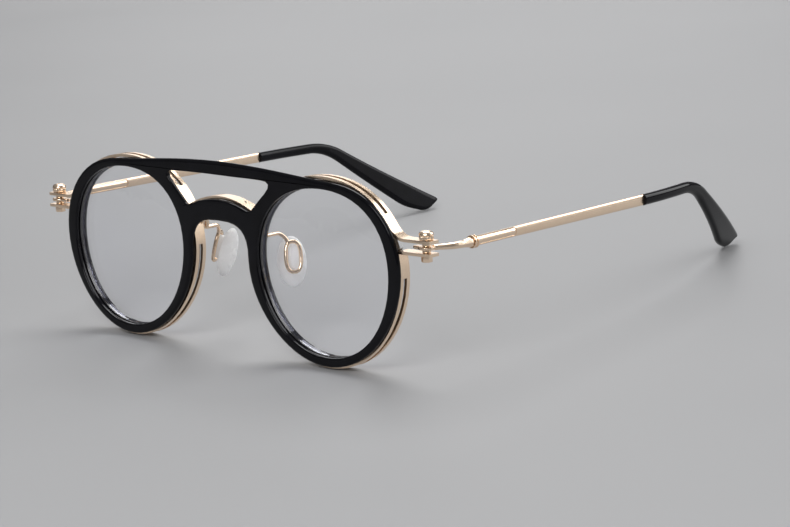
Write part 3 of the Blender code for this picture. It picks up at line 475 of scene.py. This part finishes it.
def tip_outline():
    """The tip seen from its side as two chains, top and bottom, that meet on the end face."""
    top = Vector((TIP_LENGTH, tip_half(TIP_LENGTH)))
    toe = top - Vector((TIP_HEEL * math.tan(math.radians(TIP_END_SLANT_DEG)), TIP_HEEL))
    slope = math.tan(math.radians(TIP_TOE_DEG))
    heel_s = TIP_LENGTH - 20.0
    while toe.x + (-tip_half(heel_s) - toe.y) * slope > heel_s:
        heel_s += 0.02
    heel = Vector((heel_s, -tip_half(heel_s)))
    middle = top.lerp(toe, 0.5)
    upper = [Vector((s, tip_half(s))) for s in range(int(TIP_LENGTH) - 1)]
    upper += rounded_corner(upper[-1], top, toe, TOP_CORNER) + [middle]
    lower = [Vector((s, -tip_half(s))) for s in range(int(heel_s) - 1)]
    lower += rounded_corner(lower[-1], heel, toe, HEEL_CORNER)
    lower += rounded_corner(heel, toe, top, TOE_CORNER) + [middle]
    return evenly(upper, TIP_STEPS), evenly(lower, TIP_STEPS)


def inward_normals(chain, sign):
    normals = []
    for i in range(len(chain)):
        along = chain[min(i + 1, len(chain) - 1)] - chain[max(i - 1, 0)]
        normals.append(Vector((along.y, -along.x)).normalized() * sign)
    return normals


def tip_mesh(sign):
    upper, lower = tip_outline()
    roll = arc(range(0, 91, 15))
    loops = []
    for high, low, high_in, low_in in zip(upper, lower, inward_normals(upper, 1), inward_normals(lower, -1)):
        roll_high = [(high + high_in * TIP_ROUNDING * (1 - c), TIP_THICKNESS_HALF * s) for c, s in roll]
        roll_low = [(low + low_in * TIP_ROUNDING * (1 - c), TIP_THICKNESS_HALF * s) for c, s in roll]
        inner_high, inner_low = roll_high[-1][0], roll_low[-1][0]
        face = [(inner_high.lerp(inner_low, t), TIP_THICKNESS_HALF) for t in (0.2, 0.4, 0.6, 0.8)]
        outer = roll_high + face + roll_low[::-1]
        loop = outer + [(place, -out) for place, out in outer[-2:0:-1]]
        places = [along_tip(place.x, place.y, out) for place, out in loop]
        loops.append([lay(sign * x, y, z) for x, y, z in places])
    return skin("tip", loops)


# Temple bar

def bar_mesh(sign):
    """The flat bar with rounded faces, and a stub of its core in the tip's mouth."""
    sections = [(BAR_START + 0.01 * i, BAR_FRONT_HALF, BAR_THICKNESS_HALF) for i in (0, 1)]
    for i in range(1, BAR_STEPS + 1):
        share = i / BAR_STEPS
        sections.append((BAR_START + (BAR_END - BAR_START) * share,
                         BAR_FRONT_HALF + (BAR_BACK_HALF - BAR_FRONT_HALF) * share, BAR_THICKNESS_HALF))
    sections += [(BAR_END + reach, STUB_HALF, STUB_THICKNESS_HALF) for reach in (0.01, STUB_LENGTH)]
    loops = []
    for y, height, thick in sections:
        loop = []
        for angle in angles(48):
            c, n = math.cos(angle), math.sin(angle)
            out = math.copysign(abs(c) ** 0.9, c) * thick
            across = math.copysign(abs(n) ** 0.72, n) * height
            loop.append(lay(sign * (TEMPLE_X + out), y, TEMPLE_Z + across))
        loops.append(loop)
    return skin("bar", loops)


def boss_mesh(sign):
    centre = BOSS_LENGTH - BOSS_RADIUS
    profile = [(0.0, BOSS_RADIUS)]
    profile += [(centre + BOSS_RADIUS * s, BOSS_RADIUS * c) for c, s in arc(range(0, 90, 10))]
    loops = []
    for back, reach in profile:
        loops.append([lay(sign * (TEMPLE_X + reach * math.cos(angle)), BAR_START + back,
                          TEMPLE_Z + BOSS_LIFT + reach * math.sin(angle)) for angle in angles(40)])
    return skin("boss", loops)


def groove_mesh(sign, face):
    """A thin round cutter that follows the foot of the boss on one face of the bar."""
    end = BOSS_LENGTH - BOSS_RADIUS
    path = [(0.5 * i, -GROOVE_REACH) for i in range(1, int(2 * end))]
    path += [(end + GROOVE_REACH * s, -GROOVE_REACH * c) for c, s in arc(range(0, 151, 10))]
    loops = []
    for i, (back, across) in enumerate(path):
        before, after = path[max(i - 1, 0)], path[min(i + 1, len(path) - 1)]
        aside = Vector((before[1] - after[1], after[0] - before[0])).normalized()
        loop = []
        for angle in angles(10):
            c, n = GROOVE_RADIUS * math.cos(angle), GROOVE_RADIUS * math.sin(angle)
            loop.append(lay(sign * (TEMPLE_X + face * (GROOVE_CENTRE + n)), BAR_START + back + aside.x * c,
                            TEMPLE_Z + BOSS_LIFT + across + aside.y * c))
        loops.append(loop)
    return skin("groove", loops)


for side, sign in SIDES:
    wire("pad_arm_curl_" + side, [lay(sign * x, y, z) for x, y, z in CURL_POINTS], CURL_RADIUS, "titanium")
    stand_in("hinge_screw", side, screw_mesh(sign), "titanium", "front", 50.0)

for side, sign in SIDES:
    body = "temple_" + side
    stand_in("temple_tip", side, tip_mesh(sign), "tip", body, 50.0)
    cuts = [("DIFFERENCE", groove_mesh(sign, face)) for face in (1, -1)]
    bar = carved(bar_mesh(sign), cuts + [("UNION", boss_mesh(sign))])
    stand_in("temple_bar", side, bar, "titanium", body, 40.0)

# A near-black wire of painted shade in a recess of the bridge band
wire("bridge_band_painted_shade", [lay(*point) for point in SHADE_LINE_POINTS], SHADE_LINE_RADIUS, "painted_dark")


# Stage, camera and light

def aim(azimuth_deg, elevation_deg, roll_deg=0.0):
    """Direction and rotation of a camera or lamp that sits there and looks back at the object."""
    azimuth, elevation = math.radians(azimuth_deg), math.radians(elevation_deg)
    flat = math.cos(elevation)
    back = Vector((math.sin(azimuth) * flat, -math.cos(azimuth) * flat, math.sin(elevation)))
    right = Vector((math.cos(azimuth), math.sin(azimuth), 0.0))
    turn = Matrix((right, back.cross(right), back)).transposed()
    return back, turn @ Matrix.Rotation(math.radians(roll_deg), 3, "Z")


def make_camera():
    camera = bpy.data.objects.new("photo_camera", bpy.data.cameras.new("photo_camera"))
    scene.collection.objects.link(camera)
    camera.data.sensor_width = CAMERA_SENSOR
    camera.data.lens = CAMERA_LENS
    camera.data.clip_start = 0.01
    camera.data.clip_end = 20.0
    turn = aim(CAMERA_AZIMUTH_DEG, CAMERA_ELEVATION_DEG, CAMERA_ROLL_DEG)[1]
    camera.matrix_world = Matrix.Translation(CAMERA_PLACE) @ turn.to_4x4()
    scene.camera = camera


def soft_lamp(name, azimuth_deg, elevation_deg, distance, size, energy):
    lamp = bpy.data.lights.new(name, "AREA")
    lamp.shape = "DISK"
    lamp.size = size
    lamp.energy = energy
    made = bpy.data.objects.new(name, lamp)
    scene.collection.objects.link(made)
    back, turn = aim(azimuth_deg, elevation_deg)
    made.matrix_world = Matrix.Translation(back * distance + LAMP_TARGET) @ turn.to_4x4()


def make_world():
    """A soft studio dome, darker below and lighter above."""
    world = bpy.data.worlds.new("studio")
    world.use_nodes = True
    tree = world.node_tree
    tree.nodes.clear()
    place = tree.nodes.new("ShaderNodeTexCoord")
    split = tree.nodes.new("ShaderNodeSeparateXYZ")
    ramp = tree.nodes.new("ShaderNodeValToRGB")
    light = tree.nodes.new("ShaderNodeBackground")
    output = tree.nodes.new("ShaderNodeOutputWorld")
    below, above = ramp.color_ramp.elements
    below.position, below.color = 0.0, (*WORLD_BELOW, 1.0)
    above.position, above.color = 1.0, (*WORLD_ABOVE, 1.0)
    light.inputs["Strength"].default_value = WORLD_STRENGTH
    tree.links.new(place.outputs["Generated"], split.inputs[0])
    tree.links.new(split.outputs["Z"], ramp.inputs["Fac"])
    tree.links.new(ramp.outputs["Color"], light.inputs["Color"])
    tree.links.new(light.outputs[0], output.inputs["Surface"])
    scene.world = world


def make_floor():
    """A plain pale floor, a little lighter far out, where less lamp light falls."""
    bm = bmesh.new()
    bmesh.ops.create_circle(bm, cap_ends=True, segments=96, radius=FLOOR_RADIUS)
    mesh = bpy.data.meshes.new("floor")
    bm.to_mesh(mesh)
    bm.free()
    floor = bpy.data.objects.new("floor", mesh)
    scene.collection.objects.link(floor)
    look = Shader("pale_floor")
    near = look.blend(look.varied(6.0, 0.0, 1.0), (0.355, 0.355, 0.36), (0.37, 0.37, 0.375))
    away = look.tree.nodes.new("ShaderNodeVectorMath")
    away.operation = "LENGTH"
    look.plug(away.inputs[0], look.place)
    outwards = look.range(away.outputs["Value"], 0.0, 1.0, (FLOOR_NEAR, FLOOR_FAR))
    look.set(Base_Color=look.blend(outwards, near, (0.8, 0.8, 0.81)), Roughness=0.6, Specular_IOR_Level=0.25)
    mesh.materials.append(look.material)


make_camera()
make_world()
make_floor()
for lamp in LAMPS:
    soft_lamp(*lamp)
